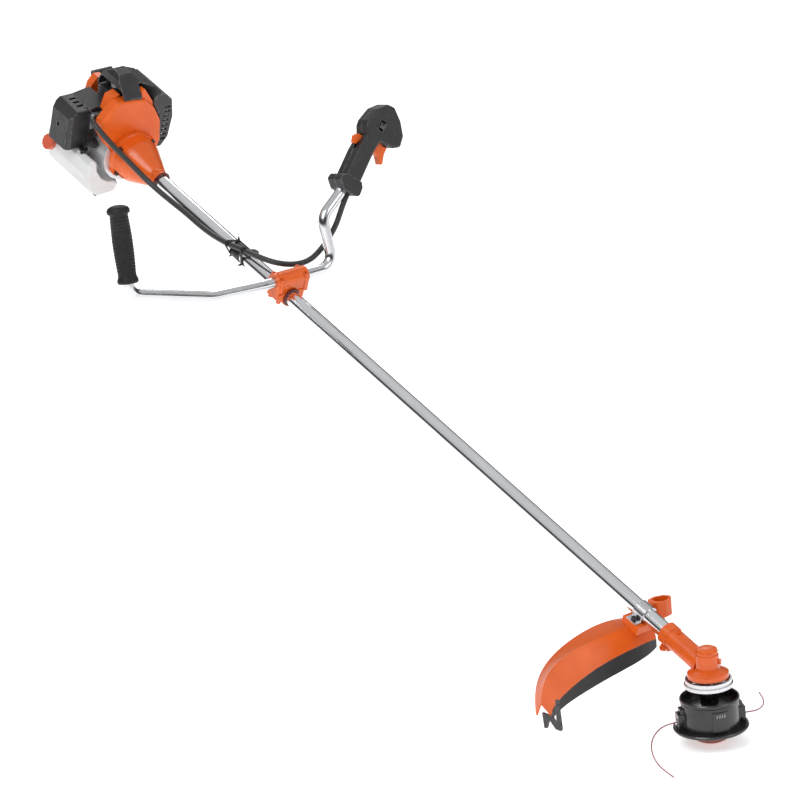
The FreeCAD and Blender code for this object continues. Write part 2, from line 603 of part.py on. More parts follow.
def make_clamp():
    x = HANDLEBAR_X
    lower = xring(18, TUBE_R, x - 17, x + 17).common(block(x - 22, x + 22, -20, 20, -20, 0))
    ears = block(x - 17, x + 17, -26, -TUBE_R - 3, -5, 0).fuse(block(x - 17, x + 17, TUBE_R + 3, 26, -5, 0))
    base = fuse_all([lower, ears.cut(xrod(TUBE_R, x - 22, x + 22))])
    middle = block(x - 15, x + 15, -29, 35, 4, BAR_RISE)
    middle = fuse_all([middle, block(x - 17, x + 17, -26, 26, 0, 10)])
    middle = middle.cut(xrod(TUBE_R, x - 22, x + 22)).cut(yrod(BAR_R, -37, 43, x, BAR_RISE))
    cap = yrod(16, -29, 35, x, BAR_RISE).common(block(x - 16, x + 16, -30, 36, BAR_RISE, BAR_RISE + 20))
    ridge = block(x - 3.5, x + 3.5, -24, 30, BAR_RISE + 14, BAR_RISE + 17.5)
    cap = fuse_all([cap, ridge])
    corners = [(x + sx * 12.6, y) for sx in (-1, 1) for y in (-22, 28)]
    bolts = []
    for bx, by in corners:
        seat = V(bx, by, BAR_RISE + 7)
        cap = fuse_all([cap, zrod(4.6, BAR_RISE, BAR_RISE + 7, bx, by)])
        cap = cap.cut(zrod(4.6, BAR_RISE + 7, BAR_RISE + 30, bx, by))
        middle = fuse_all([middle, zrod(4.6, 12, BAR_RISE, bx, by)])
        cap = cap.cut(zrod(2.05, BAR_RISE - 1, BAR_RISE + 9, bx, by))
        middle = middle.cut(zrod(2.05, 8, BAR_RISE + 1, bx, by))
        bolts.append(bolt(seat, -Z, 2.0, 20, 4.1, 4.2))
    for bx in (x - 11, x + 11):
        for by in (-21.5, 21.5):
            base = base.cut(zrod(2.55, -6, 1, bx, by))
            middle = middle.cut(zrod(2.55, -1, 9, bx, by))
            bolts.append(bolt(V(bx, by, -5), Z, 2.5, 12, 4.2, 4.5))
    cap = cap.cut(yrod(BAR_R, -37, 43, x, BAR_RISE))
    middle = middle.cut(yrod(BAR_R, -37, 43, x, BAR_RISE))
    shaft_node("clamp_base", base)
    shaft_node("clamp_middle", middle)
    shaft_node("clamp_cap", cap)
    FASTENERS.extend(tilt(b) for b in bolts)


# ---------- throttle handle, in its own frame: p towards the trigger, n forward, h along it ----------

HANDLE_OUTLINE = [(-16, 10), (-15, 62), (-11, 92), (-19, 106), (-20, 116), (-12, 143), (4, 160), (20, 162),
                  (42, 148), (60, 128), (63, 108), (50, 99), (20, 95), (17, 76), (16, 10)]
FLANGE_OUTLINE = [(-27, 0), (-25, 10), (-16, 15), (16, 16), (22, 8), (23, -8), (14, -12), (-12, -12)]
HANDLE_HALF = 17.0
TRIGGER_PIVOT = (10.0, 93.0)
CABLE_IN = 10.5            # cable entry beside the bar, in the handle frame
LOCKOUT_PIVOT = (-7.5, 88.0)


def handle_to_shaft(shape):
    """Handle frame (x = p, y = n, z = h) to the shaft frame."""
    a = math.radians(HANDLE_TURN)
    origin = bar_point(*HANDLE_BASE)
    p = bar_point(HANDLE_BASE[0] + math.sin(a), HANDLE_BASE[1] - math.cos(a)) - origin
    h = bar_point(HANDLE_BASE[0] + math.cos(a), HANDLE_BASE[1] + math.sin(a)) - origin
    n = h.cross(p)
    matrix = FreeCAD.Matrix(p.x, n.x, h.x, origin.x, p.y, n.y, h.y, origin.y, p.z, n.z, h.z, origin.z,
                            0, 0, 0, 1)
    moved = shape.copy()
    moved.Placement = FreeCAD.Placement(matrix).multiply(moved.Placement)
    return moved


def handle_node(name, shape):
    shaft_node(name, handle_to_shaft(shape))


def make_throttle_handle():
    body = y_prism(HANDLE_OUTLINE, -HANDLE_HALF, HANDLE_HALF, [2, 6, 4, 4, 6, 8, 7, 7, 9, 9, 6, 4, 4, 3, 2])
    edges = [e for e in body.Edges if e.BoundBox.YLength < 0.01]
    body = body.makeFillet(4.5, edges)
    flange = y_prism(FLANGE_OUTLINE, -19, 19, [4, 4, 3, 3, 4, 6, 4, 4])
    body = fuse_all([body, flange])
    body = body.cut(zrod(BAR_R, -14, 60.6, BAR_OFFSET, 0))
    trigger_room = block(0, 45, -6.2, 6.2, 61, 105)
    lockout_room = y_prism([(-40, 64), (-3, 64), (-3, 94), (-13, 95), (-40, 102)], -4.2, 4.2)
    switch_room = block(4, 16, -HANDLE_HALF - 3, -6, 112, 130)
    cable_room = zrod(CABLE_R + 0.1, -14, 3, CABLE_IN, 0)
    body = body.cut(trigger_room).cut(lockout_room).cut(switch_room).cut(cable_room)
    for p, h in ((10, 140), (40, 122)):
        body = body.cut(yrod(1.6, -HANDLE_HALF - 1, HANDLE_HALF + 1, p, h))
    front = body.common(block(-60, 100, 0, 40, -40, 200))
    rear = body.common(block(-60, 100, -40, 0, -40, 200))
    screws = []
    for p, h in ((10, 140), (40, 122)):
        screws.append(yrod(1.6, -HANDLE_HALF + 1, HANDLE_HALF - 3, p, h))
    pins = [yrod(2.0, -10, 10, *TRIGGER_PIVOT), yrod(1.5, -8, 8, *LOCKOUT_PIVOT)]
    body_pins = Part.makeCompound(pins)
    front, rear = front.cut(body_pins), rear.cut(body_pins)
    handle_node("handle_shell_front", front)
    handle_node("handle_shell_rear", rear)
    FASTENERS.extend(tilt(handle_to_shaft(s)) for s in screws + pins)


def make_trigger():
    trigger = y_prism([(5, 84), (5, 97), (14, 98), (38, 95), (44, 97), (44, 84), (49, 67), (44, 64), (33, 75),
                       (21, 77), (17, 81)], -5.6, 5.6, [1, 3, 3, 1, 1, 6, 2, 2, 6, 2, 1])
    handle_node("throttle_trigger", trigger.cut(yrod(2.0 + RUN_GAP, -7, 7, *TRIGGER_PIVOT)))
    lever = y_prism([(-4.5, 85), (-4.5, 91), (-11, 91), (-21, 90), (-26, 83), (-22, 71), (-16, 73),
                     (-13, 81)], -3.6, 3.6, [1, 2, 2, 3, 3, 2, 2, 2])
    handle_node("lockout_lever", lever.cut(yrod(1.5 + RUN_GAP, -5, 5, *LOCKOUT_PIVOT)))
    slider = block(5, 15, -HANDLE_HALF - 2.5, -10, 116, 126)
    slider = slider.fuse(block(8, 12, -HANDLE_HALF - 4, -10, 119, 123))
    handle_node("stop_switch", slider.removeSplitter())


# ---------- throttle cable and wire ----------

CABLE_ROUTE = [
    (st(-144), -48, 56), (st(-131), -58, 66), (st(-120), -79, 76), (st(-98), -82, 73), (st(-64), -66, 50),
    (st(-38), -50, 32), (st(0), -33, 10), (st(46), -22, 0), (st(104), -20, 2), (st(160), -20, 2),
    (st(212), -20, 10), (st(258), -13, 20), (st(296), -6, 26), (st(324), 8, 28), (st(342), 32, 29),
    (st(345), 64, 30), (st(337), 95, 42),
]
CABLE_TO_HANDLE = [(118, 62, -5), (131, 86, -1), (142.1, 103.5, 0), (157.5, 121.9, 0)]


def make_cables():
    route = [V(*p) for p in CABLE_ROUTE] + [bar_point(*p) for p in CABLE_TO_HANDLE]
    shaft_node("throttle_cable", cord("throttle_cable", route, CABLE_R))


# ---------- gear case ----------

def make_gear_case():
    arm = tilt(xrod(16.5, -98, -14).fuse(xring(18, 12, -97, -82)))
    body = z_turned([(0, -12), (32, -12), (32, -5), (24, -1), (19, 1), (18, 4), (18, 23.5), (16, 25),
                     (16, 28), (17.3, 29.2), (15.5, 33), (10, 35.5), (0, 36)])
    boss = zrod(14.5, -20, -11.9)
    case = fuse_all([body, boss, arm])
    lug = tilt(block(-96, -80, -4, 8, -26, -12).fuse(yrod(6.5, -9, 9, -88, -21)))
    case = fuse_all([case, lug])
    bore = tilt(xrod(TUBE_R, -99, TUBE_LOW_X).fuse(xrod(TUBE_R - 1.5, TUBE_LOW_X, -6)))
    cavity = zrod(14, -8, 12).fuse(zrod(9, 11, 27)).fuse(zrod(11, -21, -7))
    slit = tilt(block(-99, -78, -1.0, 1.0, -30, -10))
    bolt_way = tilt(yrod(2.6, -14, 14, -88, -21))
    case = case.cut(bore).cut(cavity).cut(slit).cut(bolt_way)
    plug_at, plug_dir = V(13, 10, 12), V(0.79, 0.61, 0)
    case = case.cut(rod(3.1, plug_at - plug_dir * 6, plug_at + plug_dir * 8))
    set_bolt_hole = tilt(rod(2.6, V(-74, 0, 11), V(-74, 0, 20)))
    world_node("gear_case", case.cut(set_bolt_hole))
    clamp_bolt = tilt(bolt(V(-88, -9, -21), Y, 2.5, 20, 4.6, 4))
    set_bolt = tilt(bolt(V(-74, 0, 16.6), -Z, 2.5, 3.4, 4.2, 3))
    grease_plug = rod(3.0, plug_at - plug_dir * 2, plug_at + plug_dir * 4).fuse(
        rod(4.6, plug_at + plug_dir * 1.8, plug_at + plug_dir * 5).cut(zrod(18, 0, 25)))
    FASTENERS.extend([clamp_bolt, set_bolt, grease_plug.removeSplitter()])


def make_bevel_gears():
    pinion = x_turned([(-23, 0), (-23, 7.0), (-12.5, 4.2), (-12.5, 0)])
    teeth = []
    for i in range(9):
        cut = xrod(1.0, -24, -11)
        cut.rotate(V(-24, 0, 0), Y, 15)
        cut.translate(V(0, 0, 7.6))
        cut.rotate(V(0, 0, 0), X, i * 40)
        teeth.append(cut)
    pinion = pinion.cut(Part.makeCompound(teeth))
    shaft_node("drive_shaft", fuse_all([xrod(SHAFT_R, st(-62), -20.0), pinion]))
    gear = z_turned([(0, -7), (13.4, -7), (13.4, -1.6), (7.5, -1.2), (7, 1.0), (0, 1.0)])
    notches = []
    for i in range(15):
        notch = block(8.2, 15, -0.8, 0.8, -3.2, 1)
        notch.rotate(V(0, 0, 0), Z, i * 24)
        notches.append(notch)
    gear = gear.cut(Part.makeCompound(notches))
    shaft = zrod(SHAFT_R, -46, 26.5)
    world_node("output_gear_shaft", fuse_all([gear, shaft]))
    bearings = [zring(9, SHAFT_R + RUN_GAP, 18, 26.5), zring(11, SHAFT_R + RUN_GAP, -19, -9)]
    BEARINGS.extend(bearings)
    BEARINGS.append(tilt(xring(TUBE_R - 1.5, SHAFT_R + RUN_GAP, -40, -30)))


# ---------- line head ----------

def make_head():
    upper = z_turned([(SHAFT_R, -28), (36.5, -28), (38, -26.5), (38, -21.5), (36, -20), (36, -14.5),
                      (33.5, -14.5), (33.5, -24.5), (9, -24.5), (9, -21), (SHAFT_R, -21)])
    world_node("upper_flange", upper)
    housing = z_turned([
        (SHAFT_R, -28), (14, -28), (14, -56), (40, -60), (42, -48), (43.5, -44.4), (45, -44), (46.3, -45.5),
        (46.3, -49), (45, -51), (45, -89.9), (42.5, -89.9), (42.5, -62.5), (12, -60), (12, -58),
        (SHAFT_R, -58),
    ])
    panel = block(43, 47, -13, 13, -88, -56).common(zrod(47, -90, -50).cut(zrod(43, -91, -49)))
    panel.rotate(V(0, 0, 0), Z, LUG_ANGLE - 84)
    back_panel = panel.copy()
    back_panel.rotate(V(0, 0, 0), Z, 180)
    towers = []
    for angle in (LUG_ANGLE, LUG_ANGLE + 180):
        tower = block(43, 53, -10, 10, -89.9, -66).fuse(block(43, 49, -8, 8, -66, -58))
        tower = tower.cut(zrod(43.5, -91, -50))
        tower = tower.cut(rod(3.2, V(40, 0, -80), V(56, 0, -80)))
        tower.rotate(V(0, 0, 0), Z, angle)
        towers.append(tower)
    way = rod(3.2, V(-56, 0, -80), V(56, 0, -80))
    way.rotate(V(0, 0, 0), Z, LUG_ANGLE)
    housing = fuse_all([housing, panel, back_panel] + towers)
    world_node("head_housing", housing.cut(way))
    cover = z_turned([(24, -95), (57.5, -95), (SKIRT_R, -93.5), (SKIRT_R, -91.5), (57, -89.9), (24, -89.9)])
    world_node("head_cover", cover)
    eyelets = []
    for angle in (LUG_ANGLE, LUG_ANGLE + 180):
        ring = rod(3.2, V(44, 0, -80), V(53, 0, -80)).fuse(rod(4.6, V(53, 0, -80), V(55, 0, -80)))
        ring = ring.cut(rod(LINE_R + 0.3, V(40, 0, -80), V(58, 0, -80)))
        ring.rotate(V(0, 0, 0), Z, angle)
        eyelets.append(ring)
    world_node("line_eyelets", Part.makeCompound(eyelets))


LUG_ANGLE = 62.0


def make_spool():
    spool = z_turned([(14, -87), (40, -87), (40, -84.5), (18, -84.5), (18, -68.5), (40, -68.5), (40, -66),
                      (14, -66)])
    world_node("spool", spool)
    coils = z_turned([(18.1, -84.3), (35.5, -84.3), (36.3, -82), (35.5, -79.6), (36.3, -77), (35.5, -74.4),
                      (36.3, -72), (35.5, -68.7), (18.1, -68.7)])
    world_node("wound_line", coils)
    knob = z_turned([(0, -119), (9, -118.6), (17, -117), (26, -112), (29, -104), (28, -99.8), (23, -99.6),
                     (23, -93), (21, -91.3), (13.7, -91.3), (13.7, -67), (11.5, -67), (11.5, -90), (0, -90)])
    world_node("bump_knob", knob)
    spring = z_turned([(8.4, -89.7), (10.8, -89.7), (10.8, -58.3), (8.4, -58.3)])
    world_node("knob_spring", spring)


NEAR_TAIL = [(-23.5, -44.1, -80), (-31, -58.3, -80.5), (-33, -78, -84), (-20, -104, -88.5), (3, -127, -93),
             (31, -144, -98), (57, -152, -102), (81, -154, -106)]
FAR_TAIL = [(23.5, 44.1, -80), (31, 58.3, -80), (32, 73, -81), (22, 92, -81), (4, 108, -81), (-20, 122, -82)]


def make_line_tails():
    for name, route in (("line_tail_near", NEAR_TAIL), ("line_tail_far", FAR_TAIL)):
        world_node(name, cord(name, [V(*p) for p in route], LINE_R))


# ---------- guard ----------

# matching points of six cross-sections, from the tube side to the outer tip
GUARD_FRONT = [(-139, 22, 8), (-141, -24, 5), (-146, -90, -6), (-142, -140, -16), (-136, -180, -27),
               (-128, -208, -44)]
GUARD_CREST = [(-146, 22, 40), (-148, -22, 41), (-164, -75, 31), (-170, -136, 20), (-161, -184, 4),
               (-141, -217, -26)]
GUARD_REAR = [(-196, 22, 30), (-212, -20, 30), (-219, -76, 20), (-211, -136, 4), (-188, -184, -16),
              (-150, -221, -46)]
GUARD_WALL = 3.0


def guard_sections(wall):
    """Closed cross-sections of the fender: front wall, crest and rear roof, wall millimetres thick."""
    wires = []
    for front, crest, rear in zip(GUARD_FRONT, GUARD_CREST, GUARD_REAR):
        a, b, c = V(*front), V(*crest), V(*rear)
        down_front = (a - b).normalize()
        down_rear = (c - b).normalize()
        inward_front = (down_rear - down_front * down_rear.dot(down_front)).normalize() * wall
        inward_rear = (down_front - down_rear * down_front.dot(down_rear)).normalize() * wall
        inner_crest = b + (inward_front + inward_rear)
        wires.append(Part.makePolygon([a, b, c, c + inward_rear, inner_crest, a + inward_front, a]))
    return wires


def make_guard():
    shell = Part.makeLoft(guard_sections(GUARD_WALL), True, False)
    x = GUARD_X
    saddle = tilt(block(x - 18, x + 18, -26, 31, -24, -TUBE_R + 3).cut(xrod(TUBE_R, x - 30, x + 30)))
    tab = z_prism([(-163, 28), (-141, 28), (-136, 44), (-139, 58), (-150, 67), (-161, 61), (-167, 46)],
                  38, 64, 5)
    tab = tab.cut(z_prism([(-159, 34), (-145, 34), (-140, 45), (-143, 56), (-150, 62), (-158, 58),
                           (-162, 46)], 41, 65, 3))
    tube_room = tilt(xrod(TUBE_R, x - 120, x + 120))
    guard = fuse_all([shell, saddle, tab]).cut(tube_room)
    world_node("guard", guard)


def make_guard_skirt():
    wires = []
    drops = [14, 26, 27, 23, 18, 10]
    for (x, y, z), crest, drop in zip(GUARD_FRONT, GUARD_CREST, drops):
        top = V(x, y, z)
        out = V(x - crest[0], (y - crest[1]) * 0.3, 0).normalize()
        thick = out * -2.2
        lower = top + V(0, 0, -drop)
        wires.append(Part.makePolygon([top, lower, lower + thick, top + thick, top]))
    world_node("guard_skirt", Part.makeLoft(wires, True, False))


def make_line_cutter():
    frame = y_prism([(-150, -46), (-147, -71), (-141, -70), (-134, -54), (-120, -66), (-108, -66),
                     (-106, -62), (-110, -16), (-116, -16), (-117, -56), (-127, -46)], -209, -206, 1.0)
    world_node("line_cutter", frame)


def make_guard_clamp():
    x = GUARD_X
    strap = xring(TUBE_R + 2.2, TUBE_R, x - 11, x + 11).common(block(x - 12, x + 12, -20, 20, -9.9, 20))
    ears = []
    for side in (-1, 1):
        low, high = sorted((side * 26, side * TUBE_R))
        ears.append(block(x - 11, x + 11, low, high, -9.9, -7.5))
        low, high = sorted((side * TUBE_R, side * (TUBE_R + 2.2)))
        ears.append(block(x - 11, x + 11, low, high, -9.9, 0))
    strap = fuse_all([strap] + ears).cut(xrod(TUBE_R, x - 13, x + 13))
    bolts = []
    for y in (-20.5, 20.5):
        strap = strap.cut(zrod(2.55, -11, -6, x, y))
        bolts.append(bolt(V(x, y, -7.5), -Z, 2.5, 12, 4.4, 4.5))
    shaft_node("guard_clamp", strap)
    FASTENERS.extend(tilt(b) for b in bolts)
    holes = [tilt(zrod(2.55, -26, -6, x, y)) for y in (-20.5, 20.5)]
    NODES["guard"] = NODES["guard"].cut(Part.makeCompound(holes))


def export_all():
    eye = V(HARNESS_X, EYE_Y, EYE_Z)
    eye_world = tilt(Part.Vertex(eye)).Point
    os.makedirs("parts", exist_ok=True)
    for name, shape in NODES.items():
        placed = shape.copy()
        placed.translate(-eye_world)
        placed.exportStep(f"parts/{name}.step")


def main():
    make_tube()
    make_harness_hanger()
    make_clutch_housing()
    make_clutch()
    make_crank()
    make_crankcase()
    make_cylinder()
    make_spark_plug()
    make_fan_cover()
    make_top_cover()
    make_muffler()
    make_carburettor()
    make_air_filter()
    make_tank()
    make_starter()
    make_starter_grip()
    make_handlebar()
    make_left_grip()
    make_clamp()
    make_throttle_handle()
    make_trigger()
    make_cables()
    make_gear_case()
    make_bevel_gears()
    make_head()
    make_spool()
    make_line_tails()
    make_guard()
    make_guard_skirt()
    make_line_cutter()
    make_guard_clamp()
    world_node("fasteners", Part.makeCompound(FASTENERS))
    world_node("ball_bearings", Part.makeCompound(BEARINGS))
    export_all()


main()
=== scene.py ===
import math

import bmesh
import bpy
from mathutils import Matrix, Vector

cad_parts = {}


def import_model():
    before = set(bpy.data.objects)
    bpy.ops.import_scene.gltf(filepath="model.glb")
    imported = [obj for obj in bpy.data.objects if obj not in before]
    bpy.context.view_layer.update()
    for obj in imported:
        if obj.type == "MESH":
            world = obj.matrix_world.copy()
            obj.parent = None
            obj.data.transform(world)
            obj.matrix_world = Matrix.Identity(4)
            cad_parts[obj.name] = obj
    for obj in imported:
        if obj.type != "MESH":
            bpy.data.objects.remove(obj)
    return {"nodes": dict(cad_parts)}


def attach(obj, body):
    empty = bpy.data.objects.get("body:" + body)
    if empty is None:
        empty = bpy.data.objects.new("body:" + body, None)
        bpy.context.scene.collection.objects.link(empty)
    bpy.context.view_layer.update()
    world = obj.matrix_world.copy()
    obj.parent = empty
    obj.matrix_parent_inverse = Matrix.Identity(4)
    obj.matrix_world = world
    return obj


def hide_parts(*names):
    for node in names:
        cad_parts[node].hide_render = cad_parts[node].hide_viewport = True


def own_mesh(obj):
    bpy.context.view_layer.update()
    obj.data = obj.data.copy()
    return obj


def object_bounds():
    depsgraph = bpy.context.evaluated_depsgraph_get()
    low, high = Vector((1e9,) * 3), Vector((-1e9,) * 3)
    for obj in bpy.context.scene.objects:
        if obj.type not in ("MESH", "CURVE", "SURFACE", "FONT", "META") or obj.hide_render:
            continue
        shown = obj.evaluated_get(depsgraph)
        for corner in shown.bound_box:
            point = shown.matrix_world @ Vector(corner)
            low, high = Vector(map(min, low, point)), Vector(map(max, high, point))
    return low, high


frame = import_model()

CAD_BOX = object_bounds()
NODES = frame["nodes"]

# The CAD is laid out in two frames that share one origin: the world frame, z up along the head's spin
# axis, and the shaft frame, x along the tube, which is the world frame turned about y by TILT. The row
# frame starts at the harness eye. Points below are in millimetres in one of the first two; materials,
# floor, camera and lights are in metres.
MM = 0.001
TILT = math.radians(23)                       # slope of the main tube
EYE = Vector((-1128.9033, 28.0, 470.5001))    # harness eye in the world frame
ENGINE_X = -1465.0                            # front face of the clutch housing's collar
HANDLEBAR_X = -1095.0                         # handlebar clamp
BAR_LEAN = math.radians(30)                   # backward lean of the handlebar's plane
BAR_RISE = 26.5                               # handlebar axis above the tube axis
TUBE_R = 13.0                                 # main tube, outside
SHADE_RING_BORE_R = 13.05                         # dark red rings on the tube that stand in for shade
CABLE_R = 5.0                                 # throttle cable conduit
LINE_R = 1.2                                  # nylon line
SPRING_R = 9.6                                # knob spring, to the middle of its wire
SPRING_WIRE_R = 1.2
SPRING_LOW, SPRING_TOP = -89.7, -58.3


# ---------- frames ----------

def world(x, y, z):
    """A world-frame point in millimetres as a row-frame point in metres."""
    return (Vector((x, y, z)) - EYE) * MM


def shaft(x, y, z):
    """A shaft-frame point in millimetres as a row-frame point in metres."""
    return world(x * math.cos(TILT) + z * math.sin(TILT), y, -x * math.sin(TILT) + z * math.cos(TILT))


def st(distance):
    """Shaft-frame x of a station counted from the clutch housing's collar."""
    return ENGINE_X + distance


def bar(y, rise, normal=0.0):
    """A shaft-frame point in the handlebar's leaning plane."""
    return (HANDLEBAR_X - rise * math.sin(BAR_LEAN) + normal * math.cos(BAR_LEAN), y,
            BAR_RISE + rise * math.cos(BAR_LEAN) + normal * math.sin(BAR_LEAN))


# ---------- camera ----------

CAMERA_AT = Vector((5.1090, -3.6185, 1.6480))
CAMERA_AIM = Vector((0.4476, -0.0529, -0.1657))
CAMERA_ROLL = math.radians(-4.713)
CAMERA_LENS = 169.2
SENSOR_WIDTH = 36


def make_camera():
    """A long lens at the photograph's viewing angle, rolled a little."""
    back = (CAMERA_AT - CAMERA_AIM).normalized()
    right = Vector((0, 0, 1)).cross(back).normalized()
    up = back.cross(right)
    image_right = right * math.cos(CAMERA_ROLL) + up * math.sin(CAMERA_ROLL)
    image_up = up * math.cos(CAMERA_ROLL) - right * math.sin(CAMERA_ROLL)
    matrix = Matrix((image_right, image_up, back)).transposed().to_4x4()
    matrix.translation = CAMERA_AT
    data = bpy.data.cameras.new("camera")
    data.sensor_width = SENSOR_WIDTH
    data.lens = CAMERA_LENS
    data.clip_end = 200
    camera = bpy.data.objects.new("camera", data)
    camera.matrix_world = matrix
    bpy.context.scene.collection.objects.link(camera)
    bpy.context.scene.camera = camera


# ---------- materials ----------

ORANGE = (0.78, 0.118, 0.008)
BLACK = (0.019, 0.019, 0.021)
PALE_METAL = (0.80, 0.81, 0.83)
ALONG_TUBE = (0, TILT, 0)
ALONG_BAR = (0, 0, math.radians(90))
FUEL_LEVEL = shaft(st(-170), 0, -62).z


class Paint:
    """A Principled material under construction, with the few nodes that the finishes below share."""

    def __init__(self, name):
        self.material = bpy.data.materials.new(name)
        self.material.use_nodes = True
        self.tree = self.material.node_tree
        self.shader = self.tree.nodes["Principled BSDF"]
        self.object_coords = self.add("ShaderNodeTexCoord").outputs["Object"]
        self.normal = None

    def add(self, kind, **settings):
        node = self.tree.nodes.new(kind)
        for key, value in settings.items():
            setattr(node, key, value)
        return node

    def put(self, socket, value):
        """Links a node's output to a socket, or sets the socket's own value."""
        if isinstance(value, bpy.types.NodeSocket):
            self.tree.links.new(value, socket)
        elif isinstance(value, tuple) and len(value) == 3 and socket.type == "RGBA":
            socket.default_value = (*value, 1)
        else:
            socket.default_value = value

    def set(self, **values):
        """Values of the shader, with underscores for the spaces of its socket names."""
        for key, value in values.items():
            self.put(self.shader.inputs[key.replace("_", " ")], value)

    def mapped(self, turn, scale):
        """Object coordinates turned and stretched."""
        node = self.add("ShaderNodeMapping", vector_type="TEXTURE")
        self.put(node.inputs["Vector"], self.object_coords)
        node.inputs["Rotation"].default_value = turn
        node.inputs["Scale"].default_value = scale
        return node.outputs["Vector"]

    def noise(self, scale, detail=3, roughness=0.5, coords=None):
        node = self.add("ShaderNodeTexNoise")
        self.put(node.inputs["Vector"], coords or self.object_coords)
        node.inputs["Scale"].default_value = scale
        node.inputs["Detail"].default_value = detail
        node.inputs["Roughness"].default_value = roughness
        return node.outputs["Fac"]

    def spread(self, value, low, high, to_low=0.0, to_high=1.0, smooth=False):
        node = self.add("ShaderNodeMapRange", interpolation_type="SMOOTHSTEP" if smooth else "LINEAR")
        for key, v in (("Value", value), ("From Min", low), ("From Max", high),
                       ("To Min", to_low), ("To Max", to_high)):
            self.put(node.inputs[key], v)
        return node.outputs["Result"]

    def math(self, operation, a, b=0.0):
        node = self.add("ShaderNodeMath", operation=operation)
        self.put(node.inputs[0], a)
        self.put(node.inputs[1], b)
        return node.outputs[0]

    def mix(self, share, a, b):
        node = self.add("ShaderNodeMix", data_type="RGBA")
        self.put(node.inputs["Factor"], share)
        self.put(node.inputs["A"], a)
        self.put(node.inputs["B"], b)
        return node.outputs["Result"]

    def rounded(self, radius):
        node = self.add("ShaderNodeBevel", samples=4)
        node.inputs["Radius"].default_value = radius
        return node.outputs["Normal"]

    def edges(self, radius):
        """1 along sharp outer edges, fading to 0 on flat faces."""
        dot = self.add("ShaderNodeVectorMath", operation="DOT_PRODUCT")
        self.put(dot.inputs[0], self.rounded(radius))
        self.put(dot.inputs[1], self.add("ShaderNodeNewGeometry").outputs["Normal"])
        return self.spread(dot.outputs["Value"], 0.995, 0.80)

    def bump(self, height, distance, strength):
        """One more layer of relief over the layers that are there."""
        node = self.add("ShaderNodeBump")
        self.put(node.inputs["Height"], height)
        node.inputs["Distance"].default_value = distance
        node.inputs["Strength"].default_value = strength
        if self.normal is not None:
            self.put(node.inputs["Normal"], self.normal)
        self.normal = node.outputs["Normal"]

    def done(self):
        if self.normal is not None:
            self.put(self.shader.inputs["Normal"], self.normal)
        return self.material


def shade(colour, factor):
    """The colour made darker or lighter."""
    return tuple(min(c * factor, 1.0) for c in colour)


def moulded(name, colour, rough, vary, grain=0.00005, grain_size=900, edge=0.25, edge_colour=None,
            bevel=0.0008, coat=0.0, metal=0.0, dirt=0.0, specular=0.5):
    """Moulded plastic or paint: cloudy colour, fine grain, rounded edges lightened partly as rubbed wear and
    partly as painted highlight, some dust.
    """
    paint = Paint(name)
    cloud = paint.noise(26, 4)
    base = paint.mix(paint.spread(cloud, 0.3, 0.7), shade(colour, 1 - vary), shade(colour, 1 + vary))
    if dirt:
        patch = paint.spread(paint.noise(60, 6, 0.65), 0.52, 0.72, 0.0, dirt, smooth=True)
        base = paint.mix(patch, base, shade(colour, 0.55))
    if edge:
        # lighter edges: partly rubbed wear, partly a painted highlight along the chamfers
        patchy = paint.spread(paint.noise(140, 3), 0.35, 0.6)
        rubbed_and_highlit = paint.math("MULTIPLY", paint.edges(bevel * 1.6), patchy)
        rubbed_and_highlit = paint.math("MULTIPLY", rubbed_and_highlit, edge)
        base = paint.mix(rubbed_and_highlit, base, edge_colour or shade(colour, 2.2))
    paint.normal = paint.rounded(bevel)
    paint.bump(paint.noise(grain_size, 2), grain, 0.6)
    paint.bump(paint.noise(45, 2), grain * 3, 0.3)
    mottled = paint.spread(paint.noise(75, 5), 0.3, 0.7, rough * 0.86, rough * 1.16)
    paint.set(Base_Color=base, Roughness=mottled, Metallic=metal, Coat_Weight=coat,
              Specular_IOR_Level=specular)
    paint.shader.inputs["Coat Roughness"].default_value = 0.12
    return paint.done()


def polished(name, colour, rough, along=(0, 0, 0), streak=0.06, bevel=0.0005):
    """Bright metal with faint draw marks along one direction and a few soft handling smudges."""
    paint = Paint(name)
    coords = paint.mapped(turn=along, scale=(60, 1, 1))
    marks = paint.noise(700, 3, 0.6, coords)
    smudge = paint.noise(18, 4, 0.6)
    roughness = paint.math("ADD", paint.spread(marks, 0.3, 0.7, rough, rough + streak),
                           paint.spread(smudge, 0.5, 0.75, 0.0, 0.07, smooth=True))
    tone = paint.mix(paint.spread(smudge, 0.35, 0.7), shade(colour, 0.94), colour)
    if bevel:
        paint.normal = paint.rounded(bevel)
    paint.bump(marks, 0.000004, 0.3)
    paint.set(Base_Color=tone, Roughness=roughness, Metallic=1.0)
    return paint.done()


def cast_metal(name, colour, rough=0.42):
    """Die-cast aluminium: a fine pebbled skin, with edges a little brighter."""
    paint = Paint(name)
    grain = 0.00012
    pebbles = paint.add("ShaderNodeTexVoronoi")
    paint.put(pebbles.inputs["Vector"], paint.object_coords)
    pebbles.inputs["Scale"].default_value = 700
    cloud = paint.noise(30, 5, 0.6)
    tone = paint.mix(paint.spread(cloud, 0.3, 0.7), shade(colour, 0.82), shade(colour, 1.08))
    tone = paint.mix(paint.math("MULTIPLY", paint.edges(0.0016), 0.5), tone, shade(colour, 1.5))
    paint.normal = paint.rounded(0.0009)
    paint.bump(pebbles.outputs["Distance"], grain, 0.5)
    paint.bump(paint.noise(240, 4), grain * 1.5, 0.35)
    paint.set(Base_Color=tone, Metallic=0.75,
              Roughness=paint.spread(paint.noise(90, 4), 0.3, 0.7, rough * 0.85, rough * 1.2))
    return paint.done()


